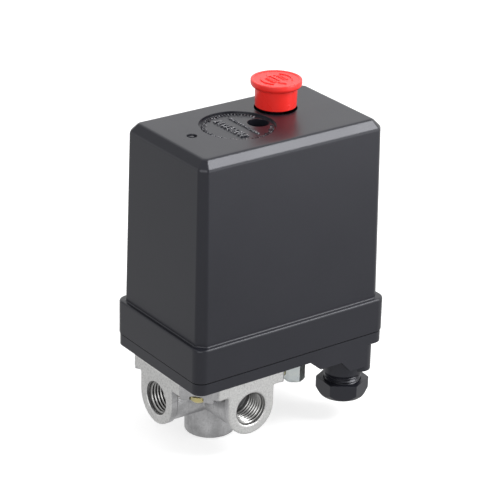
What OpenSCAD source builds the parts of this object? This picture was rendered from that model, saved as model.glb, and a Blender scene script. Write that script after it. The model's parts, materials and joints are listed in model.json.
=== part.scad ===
// Air-compressor pressure switch: a cast four-port manifold under a moulded switch box.
// Row frame: +Z up, +X along the box towards the cable gland, -Y the face with the front port.
// Origin: centre of the tank port's mouth, on the underside of the manifold.

/* [Switch box] */
// Length of the skirt round the foot of the cover
skirt_length = 87.8; // [84:0.1:92]
// Width of the skirt
skirt_width = 56.2; // [54:0.1:60]
// Corner radius of the skirt
skirt_radius = 4.35; // [3:0.05:6]
// Height of the cover's top face above the tank port
cover_top = 122.6; // [118:0.1:128]
// Top edge of the skirt
skirt_top = 50.35; // [48:0.05:53]
// Joint line between cover and base
parting_z = 36.2; // [35:0.1:37]
// Offset of the box centre from the manifold axis
box_offset = 18.6; // [17:0.1:20]
// Wall thickness of the cover
wall = 2.2; // [1.8:0.1:2.6]

/* [Manifold] */
// Wall radius of a port bore, the major radius of the 1/4 in pipe thread
port_r = 6.58; // [6:0.01:7]
// Height of the side ports' axes
port_z = 19.4; // [19:0.1:20]
// Radius of the vertical tank boss
tank_boss_r = 9.8; // [9.4:0.1:10.4]
// Radius of the horizontal arms
arm_r = 9.7; // [9.2:0.1:10]
// Radius of the U-shaped port plates
port_plate_r = 10.3; // [10:0.1:11]
// Distance from the manifold axis to the left port's mouth
left_reach = 25.1; // [24:0.1:26]
// Distance from the manifold axis to the front and back ports' mouths
side_reach = 26.9; // [26:0.1:28]
// Half spacing of the manifold screws
screw_half = 18; // [18:0.1:18.3]

/* [Push knob] */
// Radius of the knob's cap
knob_cap_r = 9.72; // [9.3:0.05:10.2]
// Radius of the knob's stem
knob_stem_r = 7.9; // [7.5:0.05:8.2]
// Height of the cap's top above the cover
knob_rise = 11.3; // [9:0.1:12]

/* [Cable gland] */
// Width across flats of the gland nut
gland_flats = 17.8; // [17:0.1:19]
// Outside radius of the gland thread
gland_thread_r = 7.3; // [7:0.05:7.5]

/* [Mechanism] */
// Mean radius of the main spring's coils
main_spring_r = 8; // [7:0.1:8.6]
// Wire diameter of the main spring
main_spring_wire = 2.4; // [1.8:0.1:2.6]
// Running clearance on each pivot's radius
running = 0.05; // [0.02:0.01:0.1]

/* [Hidden] */
$fn = 48;
tiny = 0.02;

box_half_x = skirt_length / 2;
box_half_y = skirt_width / 2;
// The moulded base sits on the manifold at this height.
base_z = 31.7;
skirt_step = 1.71;
foot_half_x = box_half_x - skirt_step;
foot_half_y = box_half_y - skirt_step;
draft_x = 0.93;
draft_y = 1.55;
shoulder_half_x = foot_half_x - draft_x;
shoulder_half_y = foot_half_y - draft_y;
top_inset = 2.98;
top_chamfer = 3.2;
foot_corner = 2.99;
shoulder_corner = 2.48;
top_corner = 1.03;
shadow_gap = 0.4;
shadow_depth = 0.9;
base_inset = 0.3;

recess_x = box_offset - 8.5;
recess_r = 14.35;
recess_depth = 1;
well_x = box_offset + 0.95;
well_r = 4;
well_floor = 100;
dimple_x = box_offset - 28.8;
dimple_r = 1.9;
dimple_depth = 0.8;

knob_x = box_offset + 14.6;
knob_y = 7.75;
knob_hole_r = 8.2;
knob_foot = 123.4;
// The spindle's tip bears on the rocker here, a little off the knob's own axis.
tip_x = box_offset + 15.7;
tip_y = 9.2;
tip_r = 1.5;
spindle_seat = 106;
cap_thickness = 2.8;
spindle_r = 3;
spindle_foot = 55.53;

port_depth = 12;
port_throat_r = 3.2;
diaphragm_r = 15;
diaphragm_thick = 1.6;
plate_low = 26.8;
plate_edge_half = 14.6;
lug_low = 25.2;
screw_seat = 27.2;
screw_r = 2;
small_screw_r = 1.5;
adjusting_r = 3;
terminal_screw_r = 1.75;
tray_floor = 34.2;
foot_top = 36.2;

gland_x = box_offset + 31.1;
gland_y = -18.75;
gland_rim = 19.1;
gland_nut_top = 15.7;
gland_nut_low = 9.1;
gland_spigot_low = 11.6;
gland_bore_r = 5.2;
gland_corner_r = 4.25;
gland_block_low = 20.6;

valve_x = 30.84;
valve_y = -12.24;
valve_low = 17.4;
valve_flats = 7.5;
valve_turn = 23.6;
valve_shank_r = 3.5;
valve_shank_top = tray_floor + 3.5;
valve_nose_r = 3.95;
tube_r = 2.05;
tube_depth = 5.6;
button_low = 45.5;
button_r = 3;

lever_pin_x = -15;
lever_pin_z = 45.5;
lever_low = 41;
lever_high = 43;
piston_disc_top = 33.3;
pin_r = 2;
cheek_inner = 12;
cheek_outer = 14;
bridge_low = 92;
bridge_high = 94.5;
seat_low = 78;
seat_thick = 2.5;
cup_r = 6.4;
cup_rise = 3;
cup_plate = 1.5;
screw_collar = 103;
screw_head_top = 107;
diff_x = 13.8;
diff_spring_r = 3;
diff_seat_low = 56;
arm_low = 64;
arm_high = 66;

rocker_x = 22;
rocker_z = 52;
rocker_top = 55.5;
bar_x = 42;
bar_y0 = -8.5;
bar_y1 = 21.5;
pole_ys = [-1, 14];
contact_half = 4.5;
contact_r = 1.7;
contact_z = 57;
contact_ys = [for (p = pole_ys, e = [-1, 1]) p + e * contact_half];
block_x0 = 28.5;
block_wall_x = 46.6;
block_x1 = 57;
block_y0 = -8.6;
block_y1 = 22.6;
block_floor = 38;
block_top = 58;
terminal_x = 52.5;
block_screw_x = 33;
block_screw_ys = [-5, 19];
earth_x = -5;
earth_y = -19;

// ---- shared shapes ----

// Rectangle with its corners cut at 45 degrees, anticlockwise.
function cut_rect(hx, hy, c) = [[hx, -hy + c], [hx, hy - c], [hx - c, hy], [-hx + c, hy],
    [-hx, hy - c], [-hx, -hy + c], [-hx + c, -hy], [hx - c, -hy]];

// Solid between two like outlines at two heights.
module loft(lower, z0, upper, z1) {
    n = len(lower);
    points = concat([for (p = lower) [p[0], p[1], z0]], [for (p = upper) [p[0], p[1], z1]]);
    sides = [for (i = [0:n - 1]) [i, i + n, (i + 1) % n + n, (i + 1) % n]];
    polyhedron(points, concat([[for (i = [0:n - 1]) i]], [[for (i = [n - 1:-1:0]) i + n]], sides));
}

module round_rect(hx, hy, r) {
    square([2 * (hx - r), 2 * hy], center = true);
    square([2 * hx, 2 * (hy - r)], center = true);
    for (sx = [-1, 1], sy = [-1, 1]) translate([sx * (hx - r), sy * (hy - r)]) circle(r);
}

module slab(hx, hy, r, z0, z1) {
    translate([0, 0, z0]) linear_extrude(z1 - z0) round_rect(hx, hy, r);
}

module block(x0, x1, y0, y1, z0, z1) {
    translate([x0, y0, z0]) cube([x1 - x0, y1 - y0, z1 - z0]);
}

module post(x, y, r, z0, z1) {
    translate([x, y, z0]) cylinder(r = r, h = z1 - z0);
}

module hex_post(x, y, flats, z0, z1, turn = 0) {
    translate([x, y, z0]) rotate([0, 0, turn]) cylinder(d = flats / cos(30), h = z1 - z0, $fn = 6);
}

// Rod along Y between two y values.
module cross_rod(x, z, r, y0, y1) {
    translate([x, y1, z]) rotate([90, 0, 0]) cylinder(r = r, h = y1 - y0);
}

// Coil spring with one closed turn at each end, swept in flat facets along the helix.
module coil(r, wire, z0, z1, turns, steps = 16, sides = 8) {
    closed = wire * 1.04;
    pitch = (z1 - z0 - wire - 2 * closed) / (turns - 2);
    rings = turns * steps;
    function rise(t) = closed * (min(t, 1) + max(0, t - turns + 1)) + pitch * max(0, min(t, turns - 1) - 1);
    function point(i, j) = let(turn = 360 * i / steps, around = 360 * (j + 0.5) / sides,
        out = r + wire / 2 * cos(around))
        [out * cos(turn), out * sin(turn), z0 + wire / 2 + rise(i / steps) + wire / 2 * sin(around)];
    function corner(i, j) = i * sides + j % sides;
    points = [for (i = [0:rings], j = [0:sides - 1]) point(i, j)];
    first_end = [for (j = [0:sides - 1]) j];
    last_end = [for (j = [sides - 1:-1:0]) corner(rings, j)];
    walls = [for (i = [0:rings - 1], j = [0:sides - 1], half = [0, 1]) half == 0
        ? [corner(i, j), corner(i + 1, j), corner(i + 1, j + 1)]
        : [corner(i, j), corner(i + 1, j + 1), corner(i, j + 1)]];
    polyhedron(points, concat([first_end, last_end], walls));
}

// Pan head with a cross recess, head up, seated at z0.
module pan_head(r, h, z0) {
    difference() {
        translate([0, 0, z0]) {
            cylinder(r = r, h = h * 0.55);
            translate([0, 0, h * 0.55]) cylinder(r1 = r, r2 = r * 0.7, h = h * 0.45);
        }
        for (a = [0, 90])
            rotate([0, 0, a]) block(-r * 0.62, r * 0.62, -0.45, 0.45, z0 + h * 0.35, z0 + h + 1);
    }
}

module at_box() {
    translate([box_offset, 0, 0]) children();
}

module at_screws() {
    for (sx = [-1, 1], sy = [-1, 1]) translate([sx * screw_half, sy * screw_half, 0]) children();
}

// ---- manifold and what it carries ----

// One horizontal arm along +X: round body, U-shaped plate at the port.
module manifold_arm(reach) {
    translate([0, 0, port_z]) rotate([0, 90, 0]) cylinder(r = arm_r, h = reach - 1);
    block(0, reach - 1, -arm_r + 1.7, arm_r - 1.7, port_z, plate_low + 1);
    translate([reach - 3.1, 0, port_z]) rotate([0, 90, 0]) cylinder(r = port_plate_r, h = 3.1);
    block(reach - 3.1, reach, -port_plate_r, port_plate_r, port_z, plate_low + 1);
}

module port_bore(reach) {
    chamfer = 0.25;
    translate([reach - port_depth, 0, port_z]) rotate([0, 90, 0]) cylinder(r = port_r, h = port_depth + 1);
    translate([reach - chamfer, 0, port_z]) rotate([0, 90, 0])
        cylinder(r1 = port_r, r2 = port_r + 2 * chamfer, h = 2 * chamfer);
    translate([0, 0, port_z]) rotate([0, 90, 0]) cylinder(r = port_throat_r, h = reach - 1);
}

// Cross-shaped plate with straight diagonal corners, one past each screw.
module plate_outline() {
    e = plate_edge_half;
    polygon([for (q = [[1, -1], [1, 1], [-1, 1], [-1, -1]], first = [0, 1])
        (first == 0) == (q[0] * q[1] > 0) ? [q[0] * left_reach, q[1] * e] : [q[0] * e, q[1] * side_reach]]);
}

module manifold_plate() {
    translate([0, 0, plate_low]) linear_extrude(base_z - plate_low) plate_outline();
    intersection() {
        translate([0, 0, lug_low]) linear_extrude(plate_low - lug_low + 1) plate_outline();
        at_screws() post(0, 0, 7, lug_low, plate_low + 1);
    }
}

module manifold() {
    color([0.75, 0.75, 0.73])
    difference() {
        union() {
            manifold_plate();
            post(0, 0, tank_boss_r, 0, plate_low + 1);
            rotate([0, 0, 180]) manifold_arm(left_reach);
            for (a = [90, -90]) rotate([0, 0, a]) manifold_arm(side_reach);
        }
        rotate([0, 0, 180]) port_bore(left_reach);
        for (a = [90, -90]) rotate([0, 0, a]) port_bore(side_reach);
        post(0, 0, port_r, -1, port_depth);
        post(0, 0, port_throat_r, port_depth - 1, port_z);
        post(0, 0, 2, port_z, base_z);
        post(0, 0, 11, 29.2, base_z + 1);
        post(0, 0, diaphragm_r, base_z - diaphragm_thick, base_z + 1);
        at_screws() {
            post(0, 0, screw_r + tiny, lug_low - 1, base_z + 1);
            post(0, 0, 4, lug_low - 1, screw_seat);
        }
    }
}

module manifold_screws() {
    color([0.82, 0.75, 0.42])
    at_screws() {
        post(0, 0, screw_r, screw_seat - 0.5, foot_top + 1.5);
        mirror([0, 0, 1]) pan_head(3.7, 2.6, -screw_seat);
    }
}

module diaphragm() {
    color([0.08, 0.08, 0.08]) post(0, 0, diaphragm_r - running, base_z - diaphragm_thick, base_z);
}

module valve_body() {
    color([0.8, 0.82, 0.8])
    difference() {
        union() {
            intersection() {
                hex_post(valve_x, valve_y, valve_flats, valve_low, base_z, valve_turn);
                translate([valve_x, valve_y, valve_low])
                    cylinder(r1 = valve_nose_r, r2 = 8 * valve_nose_r, h = base_z);
            }
            post(valve_x, valve_y, valve_shank_r, base_z - 1, valve_shank_top);
        }
        post(valve_x, valve_y, tube_r, valve_low - 1, valve_low + tube_depth);
        post(valve_x, valve_y, 1.6, valve_low + tube_depth - 1, valve_low + 9);
        post(valve_x, valve_y, 1 + running, valve_low + 8, tray_floor + 5);
    }
}

// Rubber button on the pin's end, which closes the small bore above it.
module valve_seal() {
    color([0.07, 0.07, 0.07]) post(valve_x, valve_y, 1.5, valve_low + 7.4, valve_low + 8.8);
}

module valve_spring() {
    color([0.7, 0.7, 0.7]) translate([valve_x, valve_y, 0])
        coil(2.2, 0.5, valve_shank_top + tiny, button_low - tiny, 6);
}

module valve_pin() {
    color([0.75, 0.76, 0.74]) {
        post(valve_x, valve_y, 1, valve_low + 8.8, button_low + 1);
        post(valve_x, valve_y, button_r, button_low, button_low + 1.1);
        translate([valve_x, valve_y, button_low + 1.1]) intersection() {
            sphere(r = 1.6);
            post(0, 0, 3, 0, 3);
        }
    }
}

// ---- moulded base ----

module gland_block() {
    right = box_offset + 39.75;
    front = -box_half_y + base_inset;
    post_x = right - gland_corner_r;
    // Flat front wall that steps down twice on 45-degree slopes.
    translate([0, front + 2, 0]) rotate([90, 0, 0]) linear_extrude(2) polygon([
        [box_offset + 8.1, base_z + 1], [box_offset + 8.1, base_z], [box_offset + 13.2, 27.5],
        [box_offset + 23.2, 27.5], [box_offset + 27.8, 22.7], [post_x, 22.7],
        [post_x, base_z + 1]]);
    // Rounded corner post and the block behind the wall.
    intersection() {
        union() {
            post(post_x, front + gland_corner_r, gland_corner_r, gland_block_low, base_z + 1);
            block(gland_x, right, front + gland_corner_r, -9.2, gland_block_low, base_z + 1);
            post(gland_x, gland_y, 7.75, gland_rim, base_z + 1);
        }
        block(0, right, front, 0, gland_rim, base_z + 1);
    }
}

module gland_spigot() {
    for (z = [gland_spigot_low:1.4:gland_rim - 1.4])
        translate([gland_x, gland_y, z]) {
            cylinder(r1 = gland_thread_r - 0.7, r2 = gland_thread_r, h = 0.7);
            translate([0, 0, 0.7]) cylinder(r1 = gland_thread_r, r2 = gland_thread_r - 0.7, h = 0.7);
        }
    post(gland_x, gland_y, gland_thread_r - 0.65, gland_spigot_low, gland_rim + 1);
}

module base_tray() {
    lip_x = box_half_x - wall - 0.15;
    lip_y = box_half_y - wall - 0.15;
    color([0.13, 0.13, 0.14])
    difference() {
        union() {
            at_box() difference() {
                union() {
                    slab(box_half_x - base_inset, box_half_y - base_inset, skirt_radius - base_inset,
                        base_z, parting_z);
                    slab(lip_x, lip_y, 2.4, base_z, 41);
                }
                slab(lip_x - 1.6, lip_y - 1.6, 1.2, tray_floor, 42);
            }
            gland_block();
            gland_spigot();
        }
        post(gland_x, gland_y, gland_bore_r, gland_spigot_low - 1, tray_floor + 1);
        post(0, 0, 13, base_z - 1, tray_floor + 1);
        post(valve_x, valve_y, valve_shank_r + tiny, base_z - 1, tray_floor + 1);
        at_screws() post(0, 0, screw_r + tiny, base_z - 1, tray_floor + 1);
    }
}

// ---- steel frame and the pressure lever ----

module cheek_outline() {
    difference() {
        polygon([[-20, tray_floor], [23, tray_floor], [26, 40], [26, arm_high], [11, arm_high + 3],
            [11, bridge_high], [-11, bridge_high], [-11, 56], [-20, 50]]);
        translate([lever_pin_x, lever_pin_z]) circle(pin_r + tiny);
        translate([rocker_x, rocker_z]) circle(pin_r + tiny);
        translate([-6, 58]) square([12, 26]);
        translate([-8, 38]) square([24, 12]);
    }
}

module steel_frame() {
    color([0.72, 0.72, 0.68])
    difference() {
        union() {
            block(-20.8, 24, -22.5, 22.5, tray_floor, foot_top);
            for (y = [-cheek_inner, cheek_outer])
                translate([0, y, 0]) rotate([90, 0, 0])
                    linear_extrude(cheek_outer - cheek_inner) cheek_outline();
            block(-11, 11, -cheek_outer, cheek_outer, bridge_low, bridge_high);
            block(10, 26, -cheek_outer, cheek_outer, arm_low, arm_high);
        }
        at_screws() post(0, 0, screw_r + tiny, tray_floor - 1, foot_top + 1);
        post(0, 0, 8, tray_floor - 1, foot_top + 1);
        post(0, 0, adjusting_r + running, bridge_low - 1, bridge_high + 1);
        post(diff_x, 0, screw_r + running, arm_low - 1, arm_high + 1);
        post(well_x, 0, small_screw_r + tiny, arm_low - 1, arm_high + 1);
        post(earth_x, earth_y, small_screw_r + tiny, tray_floor - 1, foot_top + 1);
    }
}

module cover_post() {
    color([0.7, 0.7, 0.66]) difference() {
        union() {
            hex_post(well_x, 0, 6.4, arm_high, 96.5, 30);
            post(well_x, 0, small_screw_r, arm_high - 2, arm_high + 1);
        }
        post(well_x, 0, small_screw_r + tiny, 86, 97);
    }
}

module lever_pin() {
    color([0.75, 0.75, 0.75]) cross_rod(lever_pin_x, lever_pin_z, pin_r, -15.8, 15.8);
}

module rocker_pin() {
    color([0.75, 0.75, 0.75]) cross_rod(rocker_x, rocker_z, pin_r, -15.8, 15.8);
}

// E-clips at both ends of both pivot pins, seated on the shafts just outside the cheeks.
module pin_clips() {
    color([0.3, 0.3, 0.32])
    for (p = [[lever_pin_x, lever_pin_z], [rocker_x, rocker_z]], y = [-14.8, 14.1])
        difference() {
            cross_rod(p[0], p[1], 3.6, y, y + 0.7);
            cross_rod(p[0], p[1], pin_r + tiny, y - 1, y + 2);
            block(p[0] - 0.8, p[0] + 0.8, y - 1, y + 2, p[1] - 5, p[1]);
        }
}

// Weld nut under the bridge, on the adjusting screw.
module adjusting_nut() {
    color([0.76, 0.76, 0.74]) difference() {
        hex_post(0, 0, 10, bridge_low - 4, bridge_low);
        post(0, 0, adjusting_r + running, bridge_low - 5, bridge_low + 1);
    }
}

module differential_nut() {
    color([0.76, 0.76, 0.74]) difference() {
        hex_post(diff_x, 0, 7, arm_low - 3, arm_low);
        post(diff_x, 0, screw_r + running, arm_low - 4, arm_low + 1);
    }
}

module piston() {
    color([0.78, 0.78, 0.76]) {
        post(0, 0, 11, base_z + tiny, piston_disc_top);
        post(0, 0, 5, piston_disc_top - 0.3, lever_low - 1.5);
        post(0, 0, 1.2, lever_low - 2, lever_low - tiny);
    }
}

module main_lever() {
    ear_y = [-11, 9.5];
    color([0.7, 0.7, 0.66])
    difference() {
        union() {
            block(-18, 14, -11, 11, lever_low, lever_high);
            block(13, 24.5, -6, 6, lever_low, lever_high);
            for (y = ear_y) {
                cross_rod(lever_pin_x, lever_pin_z, 4, y, y + 1.5);
                block(lever_pin_x - 3, lever_pin_x + 14, y, y + 1.5, lever_low, lever_pin_z);
            }
        }
        cross_rod(lever_pin_x, lever_pin_z, pin_r + running, -20, 20);
    }
}

module lower_spring_seat() {
    color([0.66, 0.66, 0.66]) {
        post(0, 0, cup_r + cup_rise, lever_high, lever_high + cup_plate);
        post(0, 0, cup_r, lever_high + cup_plate, lever_high + cup_plate + cup_rise);
    }
}

module main_spring() {
    color([0.55, 0.57, 0.6])
        coil(main_spring_r, main_spring_wire, lever_high + cup_plate + tiny, seat_low - tiny, 7, 20, 10);
}

module upper_spring_seat() {
    color([0.66, 0.66, 0.66]) difference() {
        union() {
            block(-9.4, 9.4, -11.8, 11.8, seat_low, seat_low + seat_thick);
            post(0, 0, cup_r, seat_low - cup_rise, seat_low);
        }
        translate([0, 0, seat_low + seat_thick]) sphere(r = 2.6);
    }
}

module adjusting_screw() {
    color([0.78, 0.78, 0.76]) difference() {
        union() {
            translate([0, 0, seat_low + seat_thick]) sphere(r = 2.55);
            post(0, 0, adjusting_r, seat_low + seat_thick + 1, screw_collar);
            hex_post(0, 0, 9, screw_collar, screw_head_top);
        }
        block(-5, 5, -0.6, 0.6, screw_head_top - 1.5, screw_head_top + 1);
    }
}

module differential_spring() {
    color([0.55, 0.57, 0.6]) translate([diff_x, 0, 0])
        coil(diff_spring_r, 1, lever_high + tiny, diff_seat_low - tiny, 6);
}

module differential_seat() {
    color([0.66, 0.66, 0.66]) difference() {
        post(diff_x, 0, 4, diff_seat_low, diff_seat_low + 1.8);
        translate([diff_x, 0, diff_seat_low + 1.8]) sphere(r = 1.25);
    }
}

module differential_screw() {
    color([0.78, 0.78, 0.76]) {
        translate([diff_x, 0, diff_seat_low + 1.8]) sphere(r = 1.2);
        post(diff_x, 0, screw_r, diff_seat_low + 2.2, 70);
    }
}

// ---- contacts ----

// Rocker: hub between the cheeks, top plate under the knob's spindle, bar that carries the bridges.
module rocker() {
    color([0.5, 0.14, 0.1])
    difference() {
        union() {
            cross_rod(rocker_x, rocker_z, 3.6, -11.6, 11.6);
            block(rocker_x, bar_x - 4.4, -11.6, 11.6, rocker_z - 1, rocker_top);
            block(29, 35.2, -14.4, -10.6, button_low + 2.73, rocker_z + 2);
            block(bar_x - 5, bar_x + 4, bar_y0, bar_y1, rocker_z - 3, rocker_z);
            block(bar_x - 4, bar_x - 3, bar_y0, bar_y1, rocker_z - 3, rocker_z + 2);
        }
        cross_rod(rocker_x, rocker_z, pin_r + running, -20, 20);
        for (y = pole_ys) post(bar_x, y, 1 + running, rocker_z - 4, rocker_z + 1);
    }
}

// Bridge strips, each with a guide pin and two silver contact buttons on top.
module contact_bridges() {
    color([0.85, 0.62, 0.35])
    for (y = pole_ys) translate([bar_x, y, 0]) {
        block(-2.4, 2.4, -6.6, 6.6, contact_z - 2.2, contact_z - 1.2);
        for (e = [-1, 1]) post(0, e * contact_half, contact_r, contact_z - 1.2, contact_z - tiny);
        post(0, 0, 1, rocker_z - 3, contact_z - 2);
    }
}

module contact_springs() {
    color([0.6, 0.62, 0.64])
    for (y = pole_ys) translate([bar_x, y, 0])
        coil(1.6, 0.4, rocker_z + tiny, contact_z - 2.2 - tiny, 3);
}

module rocker_spring() {
    color([0.6, 0.62, 0.64]) translate([bar_x, 6.5, 0])
        coil(2.4, 0.6, block_floor + tiny, rocker_z - 3 - tiny, 5);
}

module terminal_block() {
    ribs = [[block_y0, -7.8], [-1.7, 0.1], [5.8, 7.2], [13.1, 14.9], [20.8, block_y1]];
    color([0.34, 0.2, 0.12])
    difference() {
        union() {
            block(block_x0, block_x1, block_y0, block_y1, tray_floor, block_floor);
            block(block_wall_x, block_x1, block_y0, block_y1, block_floor - 1, block_top);
            for (rib = ribs) block(block_wall_x, block_x1, rib[0], rib[1], block_top - 1, block_top + 6);
        }
        for (y = block_screw_ys)
            post(block_screw_x, y, small_screw_r + tiny, tray_floor - 1, block_floor + 1);
        for (y = contact_ys) post(terminal_x, y, terminal_screw_r + tiny, block_top - 7, block_top + 1);
    }
}

module terminal_plates() {
    color([0.83, 0.68, 0.36])
    for (y = contact_ys) difference() {
        block(bar_x - 3, block_x1 - 1, y - 2.2, y + 2.2, contact_z + 1, contact_z + 2);
        post(terminal_x, y, terminal_screw_r + tiny, contact_z - 1, contact_z + 3);
    }
}

module fixed_contacts() {
    color([0.85, 0.85, 0.86])
    for (y = contact_ys) post(bar_x, y, contact_r, contact_z, contact_z + 1);
}

module terminal_screws() {
    color([0.82, 0.75, 0.42])
    for (y = contact_ys) translate([terminal_x, y, 0]) {
        post(0, 0, terminal_screw_r, block_top - 6.5, contact_z + 2.5);
        pan_head(2.2, 2.2, contact_z + 2);
    }
}

module block_screws() {
    color([0.78, 0.78, 0.76])
    for (y = block_screw_ys) translate([block_screw_x, y, 0]) {
        post(0, 0, small_screw_r, tray_floor, block_floor + 0.5);
        pan_head(2.8, 2, block_floor);
    }
}

module earth_screw() {
    color([0.2, 0.55, 0.25]) translate([earth_x, earth_y, 0]) {
        post(0, 0, small_screw_r, tray_floor, foot_top + 0.5);
        pan_head(2.9, 2.2, foot_top);
    }
}

// ---- cable gland ----

module gland_seal() {
    color([0.09, 0.09, 0.09]) difference() {
        post(gland_x, gland_y, 6.2, gland_nut_low + 1, gland_spigot_low - tiny);
        post(gland_x, gland_y, 4, gland_nut_low, gland_spigot_low + 1);
    }
}

module gland_nut() {
    corner_r = gland_flats / 2 / cos(30);
    color([0.14, 0.14, 0.15])
    translate([gland_x, gland_y, 0]) difference() {
        intersection() {
            hex_post(0, 0, gland_flats, gland_nut_low, gland_nut_top, -34.7);
            translate([0, 0, gland_nut_low]) union() {
                cylinder(r1 = gland_flats / 2 - 0.2, r2 = corner_r + 1, h = 3.6);
                translate([0, 0, 3.6]) cylinder(r = corner_r + 1, h = 4);
            }
        }
        post(0, 0, gland_thread_r + running, gland_spigot_low - 0.5, gland_nut_top + 1);
        post(0, 0, 6.25, gland_nut_low + 1, gland_spigot_low);
        post(0, 0, 4.2, gland_nut_low - 1, gland_nut_low + 2);
    }
}

// ---- cover and knob ----

module cover_shell() {
    foot = cut_rect(foot_half_x, foot_half_y, foot_corner);
    shoulder = cut_rect(shoulder_half_x, shoulder_half_y, shoulder_corner);
    top = cut_rect(shoulder_half_x - top_inset, shoulder_half_y - top_inset, top_corner);
    loft(foot, skirt_top - 4, shoulder, cover_top - top_chamfer);
    loft(shoulder, cover_top - top_chamfer, top, cover_top);
}

module cover_cavity() {
    foot = cut_rect(foot_half_x - wall, foot_half_y - wall, foot_corner - 0.8);
    ceiling = cut_rect(shoulder_half_x - wall - 0.7, shoulder_half_y - wall - 0.7, 2);
    loft(foot, skirt_top - 5, ceiling, cover_top - 3);
}

module cover() {
    color([0.15, 0.15, 0.16])
    difference() {
        union() {
            at_box() {
                difference() {
                    union() {
                        cover_shell();
                        slab(box_half_x, box_half_y, skirt_radius, parting_z + tiny, skirt_top);
                    }
                    cover_cavity();
                    slab(box_half_x - wall, box_half_y - wall, 2.6, parting_z - 1, 47);
                }
            }
            post(well_x, 0, well_r + 1.6, 97, cover_top - 2);
            post(knob_x, knob_y, knob_hole_r + 1.6, spindle_seat - 2, cover_top - 2);
        }
        post(recess_x, 0, recess_r, cover_top - recess_depth, cover_top + 1);
        post(dimple_x, 0, dimple_r, cover_top - dimple_depth, cover_top + 1);
        post(well_x, 0, well_r, well_floor, cover_top + 1);
        post(well_x, 0, small_screw_r + running, 96, well_floor + 1);
        post(knob_x, knob_y, knob_hole_r, spindle_seat, cover_top + 1);
        post(knob_x, knob_y, spindle_r + running, spindle_seat - 3, spindle_seat + 1);
        // Shadow line round the joint.
        at_box() difference() {
            slab(box_half_x + 1, box_half_y + 1, skirt_radius + 1, parting_z - 1, parting_z + shadow_gap);
            slab(box_half_x - shadow_depth, box_half_y - shadow_depth, skirt_radius - shadow_depth,
                parting_z - 2, parting_z + 1);
        }
    }
}

module cover_screw() {
    color([0.8, 0.8, 0.78]) translate([well_x, 0, 0]) {
        post(0, 0, small_screw_r, 90, well_floor + 0.5);
        pan_head(3, 2.2, well_floor + tiny);
    }
}

module knob() {
    cap_top = cover_top + knob_rise;
    cap_low = cap_top - cap_thickness;
    color([0.86, 0.12, 0.1]) translate([knob_x, knob_y, 0]) difference() {
        union() {
            translate([0, 0, cap_low]) cylinder(r = knob_cap_r, h = cap_thickness - 0.5);
            translate([0, 0, cap_top - 0.5]) cylinder(r1 = knob_cap_r, r2 = knob_cap_r - 0.5, h = 0.5);
            post(0, 0, knob_stem_r, knob_foot, cap_low + 0.5);
        }
        post(0, 0, knob_stem_r - 1.5, knob_foot - 1, cap_low - 0.5);
    }
}

module knob_spindle() {
    color([0.16, 0.16, 0.17]) {
        post(knob_x, knob_y, spindle_r, spindle_foot + 2 * tip_r, cover_top + 6);
        post(knob_x, knob_y, spindle_r + 0.5, spindle_foot + 2 * tip_r, spindle_foot + 4 * tip_r);
        post(knob_x, knob_y, 5, cover_top + 5, cover_top + knob_rise - cap_thickness - 0.5);
        post(tip_x, tip_y, tip_r, spindle_foot + tip_r, spindle_foot + 2.5 * tip_r);
        translate([tip_x, tip_y, spindle_foot + tip_r]) sphere(r = tip_r);
    }
}

manifold();
manifold_screws();
diaphragm();
base_tray();
steel_frame();
lever_pin();
pin_clips();
cover_post();
adjusting_nut();
differential_nut();
terminal_block();
terminal_plates();
fixed_contacts();
terminal_screws();
block_screws();
earth_screw();
valve_body();
valve_seal();
valve_spring();
valve_pin();
piston();
main_lever();
lower_spring_seat();
main_spring();
upper_spring_seat();
adjusting_screw();
differential_spring();
differential_seat();
differential_screw();
rocker();
rocker_pin();
contact_bridges();
contact_springs();
rocker_spring();
gland_seal();
gland_nut();
cover();
cover_screw();
knob();
knob_spindle();
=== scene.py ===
"""Air-compressor pressure switch: finished surfaces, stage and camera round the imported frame."""

import json
import math

import bmesh
import bpy
from mathutils import Matrix, Vector


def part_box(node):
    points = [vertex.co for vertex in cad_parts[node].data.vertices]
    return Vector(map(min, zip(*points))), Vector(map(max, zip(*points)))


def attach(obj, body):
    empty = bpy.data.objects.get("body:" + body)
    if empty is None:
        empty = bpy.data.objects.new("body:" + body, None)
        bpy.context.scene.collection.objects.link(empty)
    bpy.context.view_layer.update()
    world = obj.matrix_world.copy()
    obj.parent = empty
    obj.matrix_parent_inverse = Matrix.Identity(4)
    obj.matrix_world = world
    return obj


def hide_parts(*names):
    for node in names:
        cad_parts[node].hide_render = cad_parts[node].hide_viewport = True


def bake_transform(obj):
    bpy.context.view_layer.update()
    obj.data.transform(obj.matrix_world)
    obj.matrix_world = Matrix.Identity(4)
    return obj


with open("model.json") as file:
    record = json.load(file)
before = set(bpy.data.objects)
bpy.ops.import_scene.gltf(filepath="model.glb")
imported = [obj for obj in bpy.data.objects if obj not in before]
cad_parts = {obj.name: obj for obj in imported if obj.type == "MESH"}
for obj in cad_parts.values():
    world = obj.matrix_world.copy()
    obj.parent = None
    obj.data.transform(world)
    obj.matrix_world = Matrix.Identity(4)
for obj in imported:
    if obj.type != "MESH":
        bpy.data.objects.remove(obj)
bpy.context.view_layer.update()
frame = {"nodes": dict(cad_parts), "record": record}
NODES = frame["nodes"]
RECORD = frame["record"]
MM = 0.001

# Light: brightness of each part of the studio, and the directions of the camera and the black card.
TOWARDS_CAMERA = (-0.594, -0.805, 0)
FLAG_DIRECTION = (-0.317, 0.773, 0.549)
FLAG_LEVEL = 0.55
SWEEP_LEVEL = 1.05
ROOM_LEVEL = 0.34
FLOOR_LEVEL = 0.62
PAPER_GLOW = 0.6

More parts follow.
